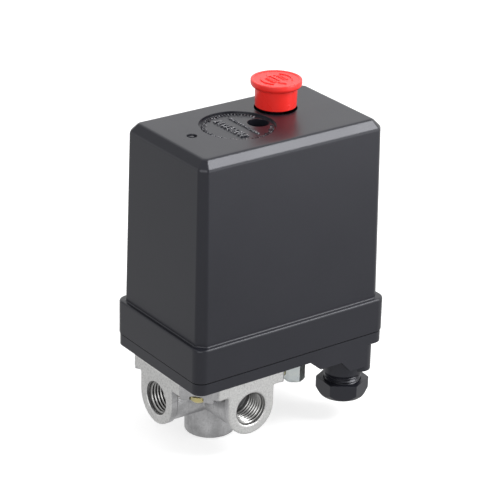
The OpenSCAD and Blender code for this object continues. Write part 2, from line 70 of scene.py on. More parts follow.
# Softboxes: offset from the middle of the box and size in metres, then watts.
SOFTBOXES = {
    "key": ((0.54, -0.46, 0.7), (0.5, 0.5), 7),
    "fill": ((0.72, -0.98, 0.1), (1.2, 0.9), 5.5),
    "left": ((-0.75, -0.6, 0.35), (0.8, 0.8), 4),
}

# Colours.
SKY_TINT = (0.93, 0.94, 1.0, 1.0)
BLACK = (0.0122, 0.0126, 0.0175)
# Pale grey painted on the raised marks as glints of light.
GLINT_PALE = (0.36, 0.36, 0.38)
ALUMINIUM = (0.62, 0.62, 0.63)
# Near white painted on the casting's edges, partly wear, partly painted highlight.
WORN_EDGE_HIGHLIGHT = (0.86, 0.86, 0.85)
# Painted shade for the thread roots.
THREAD_ROOT_SHADE = (0.06, 0.058, 0.055)

# Sizes in millimetres, in the row frame, as in the CAD.
BOX_X = 18.6
BOX_MIDDLE_Z = 80
SKIRT_HALF = (43.9, 28.1)
SKIRT_CORNER = 4.35
SKIRT_TOP = 50.35
PARTING_Z = 36.2
SHADOW_GAP = 0.4
SHADOW_DEPTH = 0.9
WALL = 2.2
FOOT_HALF = (42.14, 26.31)
FOOT_CORNER = 2.96
SHOULDER_HALF = (41.26, 24.84)
SHOULDER_CORNER = 2.48
SHOULDER_Z = 119.4
TOP_INSET = 2.98
TOP_CORNER = 1.03
COVER_TOP = 122.6
CEILING_Z = 119.6
INNER_STEP_Z = 47
INNER_CORNER = 2.2
PARTING_GAP = 0.02

# Round sinkings in the cover's top: centre, radius and depth.
RECESS = (10.1, 0, 14.35, 1.0)
DIMPLE = (-10.2, 0, 1.9, 0.8)
WELL = (19.55, 0, 4.0, 22.6)
WELL_FOOT = 97
COVER_SCREW_HOLE_R = 1.55
KNOB = (33.2, 7.75)
KNOB_HOLE_R = 8.2
KNOB_HOLE_DEPTH = 16.6
KNOB_TUBE_FOOT = 104
SPINDLE_HOLE_R = 3.05
TUBE_TOP = COVER_TOP - 1.8

# The knob's cap and stem.
CAP_R = 9.72
STEM_R = 7.9
CAP_TOP = 133.9
CAP_LOW = 131.1
KNOB_FOOT = 123.4

# Ports: bore, distance from the manifold's axis to each port's face, and the pipe thread in them.
PORT_Z = 19.4
PORT_R = 6.58
LEFT_REACH = 25.1
SIDE_REACH = 26.9
PORT_PITCH = 1.337
THREAD_DEPTH = 0.86
THREAD_START = 0.9
THREAD_END = 10.6

# Mesh work: points closer than the gap are one, the casting's grid, rounding of the CAD's edges.
WELD_GAP = 0.002
CASTING_VOXEL = 0.27
EDGE_ROUND = 0.15

DIFFERENTIAL_X = 13.8

# Springs: node, centres, coil radius, wire, turns, lower end's body and moving upper end's body.
SPRINGS = (
    ("main_spring", [(0, 0)], 8, 2.4, 7, "housing", "upper_seat"),
    ("differential_spring", [(DIFFERENTIAL_X, 0)], 3, 1, 6, "housing", "differential_seat"),
    ("valve_spring", [(30.84, -12.24)], 2.2, 0.5, 6, "housing", "valve_pin"),
    ("rocker_spring", [(42, 6.5)], 2.4, 0.6, 5, "housing", "contact_rocker"),
    ("contact_springs", [(42, -1), (42, 14)], 1.6, 0.4, 3, "contact_rocker", None),
)

# Screws that get a cut thread: node and body, centre, shank radius, pitch, the thread's two heights.
SCREWS = (
    ("adjusting_screw", (0, 0), 3, 1, (83, 101.5)),
    ("differential_screw", (DIFFERENTIAL_X, 0), 2, 0.7, (59.5, 69)),
    ("cover_screw", WELL[:2], 1.5, 0.5, (90.6, 97)),
)

# CAD nodes that a finer piece stands in for.
REPLACED = {"cover", "knob", "manifold", *(row[0] for row in SPRINGS + SCREWS)}


# ---- mesh helpers ----

def mesh_object(name, bm):
    """A new object from a bmesh whose coordinates are in millimetres."""
    bmesh.ops.recalc_face_normals(bm, faces=bm.faces)
    bmesh.ops.scale(bm, vec=(MM, MM, MM), verts=bm.verts)
    mesh = bpy.data.meshes.new(name)
    bm.to_mesh(mesh)
    bm.free()
    obj = bpy.data.objects.new(name, mesh)
    bpy.context.scene.collection.objects.link(obj)
    return obj


def smooth(obj, angle=32):
    """Smooth shading with creases sharper than the angle kept."""
    for face in obj.data.polygons:
        face.use_smooth = True
    obj.data.set_sharp_from_angle(angle=math.radians(angle))


def weld_seams(obj):
    """Joins the doubled points along the CAD's face borders."""
    weld = obj.modifiers.new("weld", "WELD")
    weld.merge_threshold = WELD_GAP * MM


def weight_normals(obj):
    """Keeps large faces flat where they meet a rounded edge."""
    modifier = obj.modifiers.new("flat_faces", "WEIGHTED_NORMAL")
    modifier.keep_sharp = True
    modifier.weight = 90


def apply_modifiers(obj):
    """Keeps the result of the modifiers as the object's own mesh."""
    graph = bpy.context.evaluated_depsgraph_get()
    mesh = bpy.data.meshes.new_from_object(obj.evaluated_get(graph))
    obj.modifiers.clear()
    obj.data = mesh


def copy_of_node(node, name):
    """A free copy of a CAD node, so that the node itself stays as it is."""
    obj = bpy.data.objects.new(name, NODES[node].data.copy())
    bpy.context.scene.collection.objects.link(obj)
    weld_seams(obj)
    return obj


def combine(target, tool, operation):
    """Adds the tool to the target or cuts it out, and deletes the tool."""
    modifier = target.modifiers.new("combine", "BOOLEAN")
    modifier.solver = "EXACT"
    modifier.operation = operation
    modifier.object = tool
    apply_modifiers(target)
    bpy.data.objects.remove(tool)


def ring_chain(bm, rings):
    """Joins rings of points, each with the same count, into a skin closed at both ends."""
    loops = [[bm.verts.new(p) for p in ring] for ring in rings]
    for low, high in zip(loops, loops[1:]):
        for i in range(len(low)):
            j = (i + 1) % len(low)
            bm.faces.new((low[i], low[j], high[j], high[i]))
    bm.faces.new(list(reversed(loops[0])))
    bm.faces.new(loops[-1])
    return loops


def circle(x, y, z, r, count):
    turns = [2 * math.pi * i / count for i in range(count)]
    return [(x + r * math.cos(t), y + r * math.sin(t), z) for t in turns]


def lathe(bm, x, y, profile, count=96):
    """A turned solid from (radius, height) points; a zero radius closes the end."""
    rings = [circle(x, y, z, max(r, 0.001), count) for r, z in profile]
    ring_chain(bm, rings)


def post(name, x, y, r, z0, z1):
    """A round bar between two heights."""
    bm = bmesh.new()
    lathe(bm, x, y, [(r, z0), (r, z1)])
    return mesh_object(name, bm)


def toward(here, there, distance):
    """The point that far from here on the way there; the last value is the height."""
    run = max(abs(there[0] - here[0]), abs(there[1] - here[1]))
    length = math.hypot(run, there[-1] - here[-1])
    share = min(0.49, distance / length) if length else 0
    return tuple(p + (q - p) * share for p, q in zip(here, there))


def soften(stations, steps=4):
    """Rounds the corners of a chain of (values, softness) stations."""
    chain = []
    for i, (here, soft) in enumerate(stations):
        if not soft or i in (0, len(stations) - 1):
            chain.append(here)
            continue
        start = toward(here, stations[i - 1][0], soft)
        end = toward(here, stations[i + 1][0], soft)
        for k in range(steps + 1):
            t = k / steps
            chain.append(tuple((1 - t) ** 2 * a + 2 * t * (1 - t) * b + t * t * c
                               for a, b, c in zip(start, here, end)))
    return chain


def turned(points_and_softness, steps=4):
    """A turned profile with rounded corners."""
    stations = [((r, r, z), soft) for r, z, soft in points_and_softness]
    return [(r, z) for r, _, z in soften(stations, steps)]


# ---- materials ----

class Finish:
    """Builds one procedural material; scales are per millimetre of the object."""

    def __init__(self, name, colour, roughness, metallic=0.0):
        self.material = bpy.data.materials.new(name)
        self.material.use_nodes = True
        self.tree = self.material.node_tree
        self.tree.nodes.clear()
        self.shader = self.tree.nodes.new("ShaderNodeBsdfPrincipled")
        output = self.tree.nodes.new("ShaderNodeOutputMaterial")
        self.tree.links.new(self.shader.outputs["BSDF"], output.inputs["Surface"])
        self.set("Base Color", (*colour, 1))
        self.set("Roughness", roughness)
        self.set("Metallic", metallic)
        coordinates = self.tree.nodes.new("ShaderNodeTexCoord")
        self.place = coordinates.outputs["Object"]
        self.material.diffuse_color = (*colour, 1)
        self.height = None

    def set(self, name, value):
        if isinstance(value, bpy.types.NodeSocket):
            self.tree.links.new(value, self.shader.inputs[name])
        else:
            self.shader.inputs[name].default_value = value

    def node(self, kind, inputs, output=0, **settings):
        made = self.tree.nodes.new(kind)
        for key, value in settings.items():
            setattr(made, key, value)
        for key, value in inputs.items():
            if isinstance(value, bpy.types.NodeSocket):
                self.tree.links.new(value, made.inputs[key])
            else:
                made.inputs[key].default_value = value
        return made.outputs[output]

    def stretch(self, x, y, z):
        return self.node("ShaderNodeMapping", {"Vector": self.place, "Scale": (x, y, z)})

    def noise(self, per_mm, detail=3.0, roughness=0.55, place=None, distortion=0.0):
        return self.node("ShaderNodeTexNoise", {
            "Vector": place or self.place, "Scale": per_mm / MM, "Detail": detail,
            "Roughness": roughness, "Distortion": distortion})

    def grains(self, per_mm):
        return self.node("ShaderNodeTexVoronoi", {"Vector": self.place, "Scale": per_mm / MM})

    def span(self, source, low, high, out_low=0.0, out_high=1.0):
        """The source stretched so that low to high becomes out_low to out_high."""
        return self.node("ShaderNodeMapRange", {
            "Value": source, "From Min": low, "From Max": high, "To Min": out_low, "To Max": out_high})

    def blend(self, share, first, second):
        """The first colour where the share is 0, the second where it is 1."""
        made = self.tree.nodes.new("ShaderNodeMix")
        made.data_type = "RGBA"
        for index, value in ((0, share), (6, first), (7, second)):
            if isinstance(value, bpy.types.NodeSocket):
                self.tree.links.new(value, made.inputs[index])
            elif index == 0:
                made.inputs[index].default_value = value
            else:
                made.inputs[index].default_value = (*value, 1) if len(value) == 3 else value
        return made.outputs[2]

    def sum(self, operation, first, second):
        return self.node("ShaderNodeMath", {0: first, 1: second}, operation=operation)

    def part(self, axis):
        """One of the object coordinates, in millimetres."""
        apart = self.tree.nodes.new("ShaderNodeSeparateXYZ")
        self.tree.links.new(self.place, apart.inputs[0])
        return self.sum("MULTIPLY", apart.outputs[axis], 1 / MM)

    def edges(self, radius_mm, strength=6.0):
        """1 on convex and concave edges, 0 on flat faces."""
        rounded = self.node("ShaderNodeBevel", {"Radius": radius_mm * MM}, samples=4)
        flat = self.tree.nodes.new("ShaderNodeNewGeometry").outputs["Normal"]
        cosine = self.node("ShaderNodeVectorMath", {0: rounded, 1: flat}, "Value", operation="DOT_PRODUCT")
        return self.node("ShaderNodeMath", {0: self.sum("SUBTRACT", 1.0, cosine), 1: strength},
                         operation="MULTIPLY", use_clamp=True)

    def relief(self, height, depth_mm, strength=1.0):
        """Adds a bump of that depth on top of the ones before."""
        inputs = {"Height": height, "Distance": depth_mm * MM, "Strength": strength}
        if self.height is not None:
            inputs["Normal"] = self.height
        self.height = self.node("ShaderNodeBump", inputs)
        self.set("Normal", self.height)


def shade(colour, factor):
    return tuple(min(1.0, c * factor) for c in colour)


def moulded(name, colour, roughness, grain_depth, wear_and_glint=0.35):
    """Moulded plastic: spark-eroded grain, faint flow marks, edges painted lighter as rubbed wear and as a
    painted highlight, a little dust.
    """
    f = Finish(name, colour, roughness)
    flow = f.noise(0.02, 2)
    speck = f.noise(1.1, 2)
    tone = f.blend(f.span(flow, 0.3, 0.7), shade(colour, 0.92), shade(colour, 1.08))
    tone = f.blend(f.span(speck, 0.45, 0.75, 0, 0.22), tone, shade(colour, 1.5))
    # Edges painted lighter: partly rubbed wear, partly a painted highlight along rims and raised marks.
    wear_and_glint_edges = f.sum("MULTIPLY", f.edges(0.5, 3.0), f.span(f.noise(0.2, 2), 0.3, 0.7, 0.5, 1.0))
    tone = f.blend(f.sum("MULTIPLY", wear_and_glint_edges, wear_and_glint), tone, shade(colour, 2.1))
    f.tone = tone
    f.set("Base Color", tone)
    drift = f.span(f.noise(0.05, 2), 0.3, 0.7, roughness - 0.015, roughness + 0.02)
    f.set("Roughness", f.sum("ADD", drift, f.sum("MULTIPLY", wear_and_glint_edges, -0.06)))
    f.relief(f.noise(5.0, 3, 0.6), grain_depth)
    f.relief(f.grains(2.2), grain_depth * 0.8)
    f.relief(f.noise(0.05, 2), 0.02, 0.4)
    f.set("Specular Tint", SKY_TINT)
    return f


def painted_glint_marks(colour):
    """The cover's plastic where it stands proud: glossier, with pale spots and lightened edges painted on as
    glints of light.
    """
    f = moulded("painted_glint_marks", colour, 0.2, 0.006, wear_and_glint=1.0)
    # Painted highlight: pale spots standing in for sparkles on the raised marks.
    glint_spots = f.span(f.noise(1.5, 2), 0.54, 0.6, 0, 0.8)
    f.set("Base Color", f.blend(glint_spots, f.tone, GLINT_PALE))
    return f


def metal(name, colour, roughness, brush=(1, 1, 1), depth=0.012, tint=None):
    """Plated or drawn metal: fine scratches, mottled plating, brighter worn edges."""
    f = Finish(name, colour, roughness, 1.0)
    mottle = f.noise(0.25, 5, 0.6)
    other = tint or shade(colour, 0.8)
    tone = f.blend(f.span(mottle, 0.35, 0.7), colour, other)
    tone = f.blend(f.sum("MULTIPLY", f.edges(0.3, 4.0), 0.5), tone, shade(colour, 1.25))
    scratch = f.noise(1.6, 4, 0.6, f.stretch(*brush))
    f.set("Base Color", tone)
    f.set("Roughness", f.span(scratch, 0.3, 0.75, roughness - 0.08, roughness + 0.12))
    f.relief(scratch, depth)
    f.relief(f.noise(0.8, 3), depth * 1.5, 0.5)
    return f


def cast_aluminium():
    """Die-cast skin with pores and stains; the port faces are ground flat and lighter, the edges painted
    brighter as wear and painted highlight, the hollows darkened as painted shade.
    """
    colour = ALUMINIUM
    skim = 0.35
    f = Finish("cast_aluminium", colour, 0.42, 1.0)
    grain = f.noise(1.3, 5, 0.7)
    blotch = f.noise(0.11, 5, 0.6)
    x, y, z = (f.part(axis) for axis in (0, 1, 2))
    left_face = f.sum("LESS_THAN", x, skim - LEFT_REACH)
    side_faces = f.sum("GREATER_THAN", f.sum("ABSOLUTE", y, 0), SIDE_REACH - skim)
    tank_face = f.sum("LESS_THAN", z, 0.3)
    faces = f.sum("MAXIMUM", f.sum("MAXIMUM", left_face, side_faces), tank_face)
    streak = f.noise(0.5, 4, 0.6, f.stretch(1, 1, 0.18), 0.4)
    tone = f.blend(f.span(blotch, 0.35, 0.68), shade(colour, 0.66), shade(colour, 1.14))
    tone = f.blend(f.span(streak, 0.5, 0.72, 0, 0.5), tone, shade(colour, 0.55))
    tone = f.blend(f.span(grain, 0.5, 0.7, 0, 0.5), tone, shade(colour, 0.45))
    ground = f.blend(f.span(grain, 0.42, 0.72, 0, 0.7), (0.76, 0.76, 0.75), (0.42, 0.42, 0.42))
    tone = f.blend(faces, tone, ground)
    # Edges painted brighter: partly worn metal, partly a painted edge highlight.
    tone = f.blend(f.sum("MULTIPLY", f.edges(0.5, 2.5), 0.6), tone, WORN_EDGE_HIGHLIGHT)
    # Painted shade: hollows and inner corners darkened where ambient occlusion finds nearby surfaces.
    open_sky = f.node("ShaderNodeAmbientOcclusion", {"Distance": 9 * MM}, "AO", samples=8)
    tone = f.blend(f.span(open_sky, 0.2, 0.8), shade(colour, 0.42), tone)
    f.set("Base Color", tone)
    rough = f.span(grain, 0.3, 0.7, 0.27, 0.44)
    f.set("Roughness", f.sum("ADD", rough, f.sum("MULTIPLY", faces, 0.04)))
    f.relief(grain, 0.1, 0.7)
    f.relief(f.noise(0.4, 3), 0.16, 0.6)
    return f


def machined_aluminium():
    """Cut threads: bright crests, fine tool marks, and the roots darkened as painted shade."""
    colour = (0.62, 0.62, 0.61)
    f = Finish("machined_aluminium", colour, 0.3, 1.0)
    tool = f.noise(3.0, 3, 0.5)
    crest = f.node("ShaderNodeAttribute", {}, "Fac", attribute_name="crest")
    crest_tone = f.blend(f.span(f.noise(0.5, 4), 0.35, 0.7), shade(colour, 0.9), shade(colour, 1.08))
    # Painted shade: the crest value darkens the roots, standing in for the shadow down in them.
    f.set("Base Color", f.blend(f.span(crest, 0.2, 1.0), THREAD_ROOT_SHADE, crest_tone))
    f.set("Roughness", f.span(tool, 0.3, 0.7, 0.26, 0.4))
    f.relief(tool, 0.012)
    return f


def rubber(name, colour):
    """Soft rubber: dull, with a faint bloom."""
    f = Finish(name, colour, 0.75)
    f.set("Base Color", f.blend(f.span(f.noise(0.4, 4), 0.4, 0.7), colour, shade(colour, 1.8)))
    f.set("Roughness", f.span(f.noise(0.9, 3), 0.3, 0.7, 0.65, 0.85))
    f.relief(f.noise(4.0, 3), 0.02)
    return f


FINISHES = {
    "cast_aluminium": cast_aluminium(),
    "machined_aluminium": machined_aluminium(),
    "yellow_zinc": metal("yellow_zinc", (0.7, 0.6, 0.27), 0.24, tint=(0.5, 0.48, 0.3)),
    "white_zinc": metal("white_zinc", (0.82, 0.86, 0.82), 0.34, tint=(0.68, 0.74, 0.76)),
    "frame_steel": metal("frame_steel", (0.55, 0.56, 0.55), 0.34, brush=(1, 6, 1), tint=(0.48, 0.5, 0.55)),
    "dark_spring": metal("dark_spring", (0.3, 0.31, 0.33), 0.3, brush=(1, 1, 4)),
    "black_plastic": moulded("black_plastic", BLACK, 0.29, 0.008),
    "painted_glint_marks": painted_glint_marks(BLACK),
    "red_plastic": moulded("red_plastic", (0.96, 0.03, 0.023), 0.27, 0.005, wear_and_glint=0.05),
    "black_rubber": rubber("black_rubber", (0.022, 0.022, 0.023)),
    "bakelite": moulded("bakelite", (0.085, 0.035, 0.016), 0.35, 0.012, wear_and_glint=0.2),
    "rocker_plastic": moulded("rocker_plastic", (0.25, 0.03, 0.015), 0.4, 0.012, wear_and_glint=0.2),
    "brass": metal("brass", (0.78, 0.56, 0.22), 0.26, brush=(1, 5, 1), tint=(0.66, 0.42, 0.2)),
    "silver": metal("silver", (0.8, 0.8, 0.81), 0.22),
    "earth_green": metal("earth_green", (0.06, 0.34, 0.1), 0.32, tint=(0.1, 0.3, 0.06)),
}


def finish_with(obj, slot, body):
    """Gives a new piece its material and the body it moves with."""
    obj.data.materials.clear()
    obj.data.materials.append(FINISHES[slot].material)
    if body:
        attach(obj, body)


# ---- cover ----

def corner_points(hx, hy, corner, cutness, steps=6):
    """One quarter of the outline: an arc when cutness is 0, a softened 45-degree cut when it is 1."""
    reach = 0.3 * corner
    slant = math.sqrt(0.5)
    knees = [((hx, hy - corner), (0, 1), (-slant, slant)), ((hx - corner, hy), (-slant, slant), (-1, 0))]
    cut = []
    for (x, y), before, after in knees:
        for k in range(steps):
            t = k / (steps - 1)
            a = (x - before[0] * reach, y - before[1] * reach)
            b = (x + after[0] * reach, y + after[1] * reach)
            cut.append([(1 - t) ** 2 * a[i] + 2 * t * (1 - t) * (x, y)[i] + t * t * b[i] for i in (0, 1)])
    points = []
    for k, (x, y) in enumerate(cut):
        turn = math.pi / 2 * k / (2 * steps - 1)
        arc = (hx - corner + corner * math.cos(turn), hy - corner + corner * math.sin(turn))
        points.append((arc[0] + (x - arc[0]) * cutness, arc[1] + (y - arc[1]) * cutness))
    return points


def box_outline(values):
    """The closed outline of the switch box for (half x, half y, corner, cutness, z)."""
    hx, hy, corner, cutness, z = values
    quarter = corner_points(hx, hy, corner, cutness)
    outline = []
    for sx, sy in ((1, 1), (-1, 1), (-1, -1), (1, -1)):
        points = quarter if sx == sy else list(reversed(quarter))
        outline.extend((BOX_X + sx * x, sy * y, z) for x, y in points)
    return outline


def skirt(inset, z):
    """Outline values of the round-cornered skirt, set in from its outside."""
    return (SKIRT_HALF[0] - inset, SKIRT_HALF[1] - inset, SKIRT_CORNER - inset, 0, z)


def shell(half, corner, inset, z):
    """Outline values of the cut-cornered upper box, set in from its outside."""
    return (half[0] - inset, half[1] - inset, corner, 1, z)


def bevel_rims(obj, low, high, width):
    """Rounds the sharp rims of holes between two heights, in millimetres."""
    bm = bmesh.new()
    bm.from_mesh(obj.data)
    inner = [half - TOP_INSET - 1.5 for half in SHOULDER_HALF]
    rims = []
    for edge in bm.edges:
        if len(edge.link_faces) != 2 or edge.calc_face_angle(0) < math.radians(40):
            continue
        ends = [v.co / MM for v in edge.verts]
        if all(low < p.z < high and abs(p.x - BOX_X) < inner[0] and abs(p.y) < inner[1] for p in ends):
            rims.append(edge)
    bmesh.ops.bevel(bm, geom=rims, offset=width * MM, segments=2, profile=0.5, affect="EDGES")
    bm.to_mesh(obj.data)
    bm.free()


def build_cover():
    """One hollow skin, from the ceiling inside, down and round the rim, up to the top, then its holes."""
    rim = PARTING_Z + PARTING_GAP
    stations = [
        (shell(SHOULDER_HALF, 2, WALL + 0.7, CEILING_Z), 0),
        (shell(FOOT_HALF, INNER_CORNER, WALL, INNER_STEP_Z), 0),
        (skirt(WALL, INNER_STEP_Z), 0),
        (skirt(WALL, rim), 0),
        (skirt(SHADOW_DEPTH, rim), 0),
        (skirt(SHADOW_DEPTH, PARTING_Z + SHADOW_GAP), 0),
        (skirt(0, PARTING_Z + SHADOW_GAP), 0.3),
        (skirt(0, SKIRT_TOP), 0.75),
        (shell(FOOT_HALF, FOOT_CORNER, 0, SKIRT_TOP), 0.5),
        (shell(SHOULDER_HALF, SHOULDER_CORNER, 0, SHOULDER_Z), 0.8),
        (shell(SHOULDER_HALF, TOP_CORNER, TOP_INSET, COVER_TOP), 0.8),
        (shell(SHOULDER_HALF, TOP_CORNER * 0.9, TOP_INSET + 2, COVER_TOP), 0),
    ]
    bm = bmesh.new()
    ring_chain(bm, [box_outline(s) for s in soften(stations)])
    cover = mesh_object("cover_shell", bm)
    well = WELL[:2]
    combine(cover, post("tube", *well, WELL[2] + 1.6, WELL_FOOT, TUBE_TOP), "UNION")
    combine(cover, post("tube", *KNOB, KNOB_HOLE_R + 1.4, KNOB_TUBE_FOOT, TUBE_TOP), "UNION")
    for x, y, r, depth in (RECESS, WELL, DIMPLE, (*KNOB, KNOB_HOLE_R, KNOB_HOLE_DEPTH)):
        combine(cover, post("cutter", x, y, r, COVER_TOP - depth, COVER_TOP + 2), "DIFFERENCE")
    combine(cover, post("cutter", *well, COVER_SCREW_HOLE_R, WELL_FOOT - 1, WELL_FOOT + 4), "DIFFERENCE")
    spindle_hole = post("cutter", *KNOB, SPINDLE_HOLE_R, KNOB_TUBE_FOOT - 1, KNOB_TUBE_FOOT + 3)
    combine(cover, spindle_hole, "DIFFERENCE")
    bevel_rims(cover, COVER_TOP - 1.2, COVER_TOP + 0.1, 0.25)
    smooth(cover)
    weight_normals(cover)
    finish_with(cover, "black_plastic", "cover")
    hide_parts("cover")


# ---- knob ----

def build_knob():
    """Turned cap on a hollow stem, with a sunk face that carries the push mark."""
    face = CAP_TOP - 0.25
    bore = STEM_R - 1.5
    profile = turned([
        (0, CAP_LOW - 0.5, 0), (bore, CAP_LOW - 0.5, 0), (bore, KNOB_FOOT, 0),
        (STEM_R, KNOB_FOOT, 0.3), (STEM_R + 0.1, CAP_LOW - 0.1, 0.4), (CAP_R - 0.7, CAP_LOW, 0.5),
        (CAP_R, CAP_LOW + 0.9, 0.5), (CAP_R, CAP_TOP, 0.35), (CAP_R - 1.0, CAP_TOP, 0.12),
        (CAP_R - 1.3, face, 0.1), (0, face, 0)], 5)
    bm = bmesh.new()
    lathe(bm, *KNOB, profile, 128)
    knob = mesh_object("knob_cap", bm)
    smooth(knob)
    finish_with(knob, "red_plastic", "knob")
    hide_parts("knob")
    build_push_mark(face)
    build_moulding_pip()


def raised(bm, outline, z0, height, draft=0.12):
    """A low block on a flat outline, its sides leaning in by the draft and its foot sunk out of sight."""
    sunk = 0.3
    cx = sum(p[0] for p in outline) / len(outline)
    cy = sum(p[1] for p in outline) / len(outline)
    top = []
    for x, y in outline:
        away = math.hypot(x - cx, y - cy)
        share = max(0.0, 1 - draft / away) if away else 1
        top.append((cx + (x - cx) * share, cy + (y - cy) * share, z0 + height))
    foot = [(x, y, z0 - sunk) for x, y in outline]
    base = [(x, y, z0) for x, y in outline]
    ring_chain(bm, [foot, base, top])


def bar(x0, y0, x1, y1, width):
    """Outline of a straight stroke."""
    length = math.hypot(x1 - x0, y1 - y0)
    nx, ny = -(y1 - y0) / length * width / 2, (x1 - x0) / length * width / 2
    return [(x0 - nx, y0 - ny), (x1 - nx, y1 - ny), (x1 + nx, y1 + ny), (x0 + nx, y0 + ny)]


def build_push_mark(face):
    """A plain two-way arrow between two curved strokes, with short bars beside its shaft."""
    bm = bmesh.new()
    x, y = KNOB
    height = 0.3
    arc_r = 5.9
    half_shaft = 3.4
    raised(bm, bar(x, y - half_shaft, x, y + half_shaft, 0.8), face, height)
    for side in (-1, 1):
        root, tip = (y + side * reach for reach in (3.3, 6.4))
        raised(bm, [(x - 2.0, root), (x + 2.0, root), (x, tip)][::side], face, height)
        for k in range(10):
            first, last = (math.radians(9 * step - 45) for step in (k, k + 1))
            ends = [(x + side * arc_r * math.cos(t), y + arc_r * math.sin(t)) for t in (first, last)]
            raised(bm, bar(*ends[0], *ends[1], 0.55), face, height, 0.05)
        for k in range(-2, 3):
            along = y + 1.15 * k
            raised(bm, bar(x + side * 1.7, along, x + side * 3.6, along, 0.45), face, height, 0.05)
    mark = mesh_object("knob_push_mark", bm)
    finish_with(mark, "red_plastic", "knob")


def build_moulding_pip():
    """The small nub left on the stem by the mould."""
    bm = bmesh.new()
    turn = Matrix.Rotation(math.radians(-88), 4, "Z") @ Matrix.Rotation(math.radians(90), 4, "Y")
    place = Matrix.Translation((*KNOB, KNOB_FOOT + 2)) @ turn
    profile = turned([(0.5, STEM_R - 0.3, 0), (0.48, STEM_R + 0.14, 0.08), (0, STEM_R + 0.2, 0)], 3)
    lathe(bm, 0, 0, profile, 20)
    bmesh.ops.transform(bm, matrix=place, verts=bm.verts)
    pip = mesh_object("knob_pip", bm)
    smooth(pip, 60)
    finish_with(pip, "red_plastic", "knob")


# ---- marks in the cover's recess ----

def build_recess_marks():
    """Plain ticks round the sunk disc and two rows of bars across it, where a maker would put a name."""
    x, y, r, depth = RECESS
    floor = COVER_TOP - depth
    bm = bmesh.new()

    def clear(px, py):
        return math.hypot(px - WELL[0], py - WELL[1]) > WELL[2] + 0.7

    count = 64
    for k in range(count):
        turn = 2 * math.pi * (k + 0.5) / count
        inner = r - (2.3 if k % 4 else 2.9)
        ends = [(x + d * math.cos(turn), y + d * math.sin(turn)) for d in (inner, r - 0.8)]
        if clear(*ends[0]):
            raised(bm, bar(*ends[0], *ends[1], 0.55), floor, 0.4, 0.2)
    for k in range(9):
        along = 8.4 - 2.1 * k
        raised(bm, bar(5.2, along, 8.9, along - 0.5, 1.15), floor, 0.5, 0.26)
        if k % 3 == 1:
            raised(bm, bar(6.9, along - 1.1, 6.9, along - 0.2, 0.6), floor, 0.5, 0.08)
    for k in range(22):
        along = 9.0 - 0.86 * k
        if clear(12.9, along):
            raised(bm, bar(12.2, along, 13.6, along, 0.5), floor, 0.4, 0.18)
    marks = mesh_object("recess_marks", bm)
    glint = marks.modifiers.new("glint", "BEVEL")
    glint.width = 0.09 * MM
    glint.segments = 2
    apply_modifiers(marks)
    finish_with(marks, "painted_glint_marks", "cover")


def build_gate_mark():
    """The stub where the plastic was fed in, standing in the dimple."""
    x, y, _, depth = DIMPLE
    profile = [(0.9, COVER_TOP - depth - 0.1, 0), (0.85, COVER_TOP - 0.25, 0.15), (0, COVER_TOP - 0.2, 0)]
    bm = bmesh.new()
    lathe(bm, x, y, turned(profile, 3), 32)
    gate = mesh_object("gate_mark", bm)
    smooth(gate, 60)
    finish_with(gate, "black_plastic", "cover")


# ---- springs ----

def spring(bm, x, y, r, wire, z0, z1, turns, steps=40, sides=14):
    """A compression spring with one closed turn at each end."""
    closed = wire * 1.04
    pitch = (z1 - z0 - wire - 2 * closed) / (turns - 2)
    rings = []
    for i in range(turns * steps + 1):
        t = i / steps
        rise = closed * (min(t, 1) + max(0, t - turns + 1)) + pitch * max(0, min(t, turns - 1) - 1)
        turn = 2 * math.pi * t
        ring = []
        for j in range(sides):
            around = 2 * math.pi * j / sides
            out = r + wire / 2 * math.cos(around)
            ring.append((x + out * math.cos(turn), y + out * math.sin(turn),
                         z0 + wire / 2 + rise + wire / 2 * math.sin(around)))
        rings.append(ring)
    ring_chain(bm, rings)


def build_spring(node, places, r, wire, turns, body, moving_end):
    """Finer coils in place of the CAD spring; with a moving end they are left unattached, their placement
    baked into the mesh.
    """
    low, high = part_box(node)
    bm = bmesh.new()
    for x, y in places:
        spring(bm, x, y, r, wire, low.z / MM, high.z / MM, turns)
    coils = mesh_object(node + "_coils", bm)
    smooth(coils, 60)
    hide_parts(node)
    finish_with(coils, "dark_spring", None if moving_end else body)
    if moving_end:
        x, y = places[0]
        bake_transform(coils)


# ---- manifold ----

def build_manifold():
    """The CAD body with every edge and inner corner softened, as a casting comes out of its mould."""
    casting = copy_of_node("manifold", "manifold_casting")
    skin = casting.modifiers.new("skin", "REMESH")
    skin.mode = "VOXEL"
    skin.voxel_size = CASTING_VOXEL * MM
    skin.use_smooth_shade = True
    ease = casting.modifiers.new("ease", "SMOOTH")
    ease.factor = 0.5
    ease.iterations = 5
    apply_modifiers(casting)
    finish_with(casting, "cast_aluminium", "housing")
    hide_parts("manifold")


